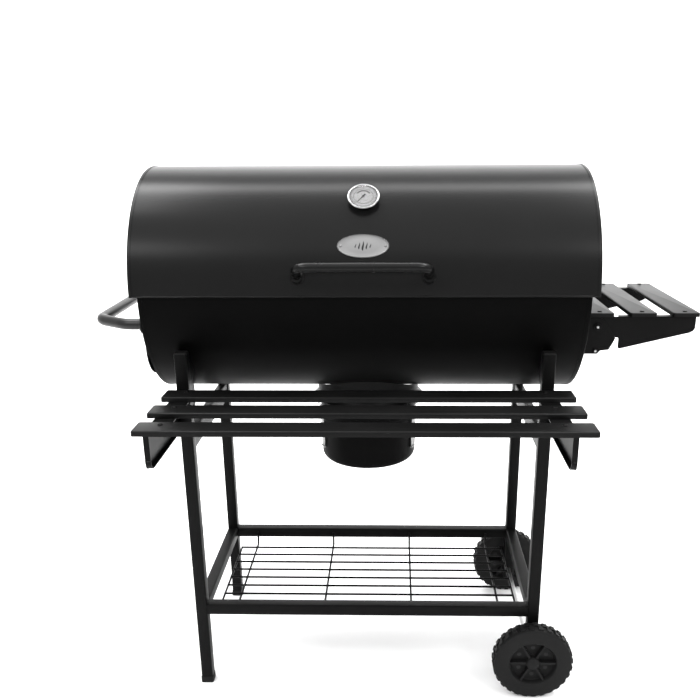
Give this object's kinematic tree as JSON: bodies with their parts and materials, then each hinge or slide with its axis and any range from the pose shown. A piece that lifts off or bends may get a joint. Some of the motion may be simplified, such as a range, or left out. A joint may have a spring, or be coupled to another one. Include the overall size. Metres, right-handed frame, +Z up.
{
  "type": "barrel charcoal grill",
  "caption": "Horizontal barrel charcoal grill on a square-tube cart with wheels, hinged lid, front shelf, fold-down side shelf, drop-out ash bucket and lower wire rack.",
  "frame": {"origin": "on the floor under the middle of the overall footprint", "axes": "+X along the barrel towards the wheels and the folding side shelf, -Y towards the cook and the front shelf, +Z up"},
  "size_m": [1.2047, 0.718, 1.106],
  "materials": {
    "black_enamel": "satin black powder coat",
    "satin_steel": "dark grey satin coat",
    "handle_plastic": "glossy black moulded",
    "wheel_plastic": "matt black moulded",
    "cap_plastic": "matt black moulded",
    "bright_steel": "bright plated",
    "grate_steel": "plated wire",
    "tray_steel": "dull dark sheet",
    "gauge_chrome": "polished",
    "dial_face": "satin white silver with printed ticks",
    "needle_black": "matt black",
    "plate_silver": "satin silver, raised rim"
  },
  "bodies": {
    "cart": {"leg_front_left": "black_enamel", "leg_front_right": "black_enamel", "leg_rear_left": "black_enamel", "leg_rear_right": "black_enamel", "foot_front": "cap_plastic", "foot_rear": "cap_plastic", "leg_cap_left": "cap_plastic", "leg_cap_right": "cap_plastic", "base_rail_left": "black_enamel", "base_rail_right": "black_enamel", "base_rail_front": "black_enamel", "base_rail_rear": "black_enamel", "upper_rail_left": "black_enamel", "upper_rail_right": "black_enamel", "saddle_front_left": "black_enamel", "saddle_rear_left": "black_enamel", "saddle_front_right": "black_enamel", "saddle_rear_right": "black_enamel", "bottom_rack": "black_enamel", "barrel_shell": "black_enamel", "barrel_end_left": "black_enamel", "barrel_end_right": "black_enamel", "grate_ledge_front": "black_enamel", "grate_ledge_rear": "black_enamel", "hinge_base_left": "black_enamel", "hinge_base_right": "black_enamel", "pull_handle": "satin_steel", "front_slat_1": "black_enamel", "front_slat_2": "black_enamel", "front_slat_3": "black_enamel", "shelf_arm_left": "black_enamel", "shelf_arm_right": "black_enamel", "side_bracket_front": "black_enamel", "side_bracket_rear": "black_enamel", "wheel_axle": "bright_steel", "ash_collar": "black_enamel"},
    "lid": {"lid_shell": "black_enamel", "lid_end_left": "black_enamel", "lid_end_right": "black_enamel", "lid_handle": "handle_plastic", "thermometer_case": "gauge_chrome", "thermometer_dial": "dial_face", "nameplate": "plate_silver", "hinge_lid_left": "black_enamel", "hinge_lid_right": "black_enamel"},
    "thermometer_needle": {"thermometer_needle": "needle_black"},
    "side_shelf": {"side_slat_1": "black_enamel", "side_slat_2": "black_enamel", "side_slat_3": "black_enamel", "side_arm_front": "black_enamel", "side_arm_rear": "black_enamel"},
    "wheel_front": {"wheel_front": "wheel_plastic"},
    "wheel_rear": {"wheel_rear": "wheel_plastic"},
    "ash_bucket": {"ash_bucket": "black_enamel"},
    "ash_latch_left": {"ash_latch_left": "bright_steel"},
    "ash_latch_right": {"ash_latch_right": "bright_steel"},
    "vent_damper": {"vent_damper": "satin_steel"},
    "cooking_grate_left": {"cooking_grate_left": "grate_steel"},
    "cooking_grate_right": {"cooking_grate_right": "grate_steel"},
    "charcoal_tray": {"charcoal_tray": "tray_steel"}
  },
  "joints": [
    {"name": "lid_hinge", "type": "hinge", "parent": "cart", "child": "lid", "pos_m": [-0.059, 0.353, 0.8715], "axis": [-1, 0, 0], "range_deg": [0, 95]},
    {"name": "needle_turn", "type": "hinge", "parent": "lid", "child": "thermometer_needle", "pos_m": [-0.059, -0.04775, 1.04564], "axis": [0, 0.6691, -0.7431], "range_deg": [0, 250], "stiffness_Nm_per_rad": 0.001},
    {"name": "side_shelf_fold", "type": "hinge", "parent": "cart", "child": "side_shelf", "pos_m": [0.402, 0.1095, 0.8025], "axis": [0, 1, 0], "range_deg": [0, 55]},
    {"name": "wheel_front_spin", "type": "hinge", "parent": "cart", "child": "wheel_front", "pos_m": [0.299, -0.146, 0.086], "axis": [0, 1, 0], "continuous": true},
    {"name": "wheel_rear_spin", "type": "hinge", "parent": "cart", "child": "wheel_rear", "pos_m": [0.299, 0.293, 0.086], "axis": [0, 1, 0], "continuous": true},
    {"name": "ash_bucket_drop", "type": "slide", "parent": "cart", "child": "ash_bucket", "axis": [0, 0, -1], "range_m": [0, 0.2]},
    {"name": "ash_latch_left_swing", "type": "hinge", "parent": "ash_bucket", "child": "ash_latch_left", "pos_m": [-0.15949, 0.06476, 0.5], "axis": [0.4067, -0.9135, 0], "range_deg": [0, 100]},
    {"name": "ash_latch_right_swing", "type": "hinge", "parent": "ash_bucket", "child": "ash_latch_right", "pos_m": [0.04149, 0.06476, 0.5], "axis": [0.4067, 0.9135, 0], "range_deg": [0, 100]},
    {"name": "vent_turn", "type": "hinge", "parent": "cart", "child": "vent_damper", "pos_m": [-0.494, -0.019, 0.765], "axis": [1, 0, 0], "range_deg": [0, 45]},
    {"name": "cooking_grate_left_lift", "type": "slide", "parent": "cart", "child": "cooking_grate_left", "axis": [0, 0, 1], "range_m": [0, 0.06]},
    {"name": "cooking_grate_right_lift", "type": "slide", "parent": "cart", "child": "cooking_grate_right", "axis": [0, 0, 1], "range_m": [0, 0.06]},
    {"name": "charcoal_tray_lift", "type": "slide", "parent": "cart", "child": "charcoal_tray", "axis": [0, 0, 1], "range_m": [0, 0.1]}
  ]
}
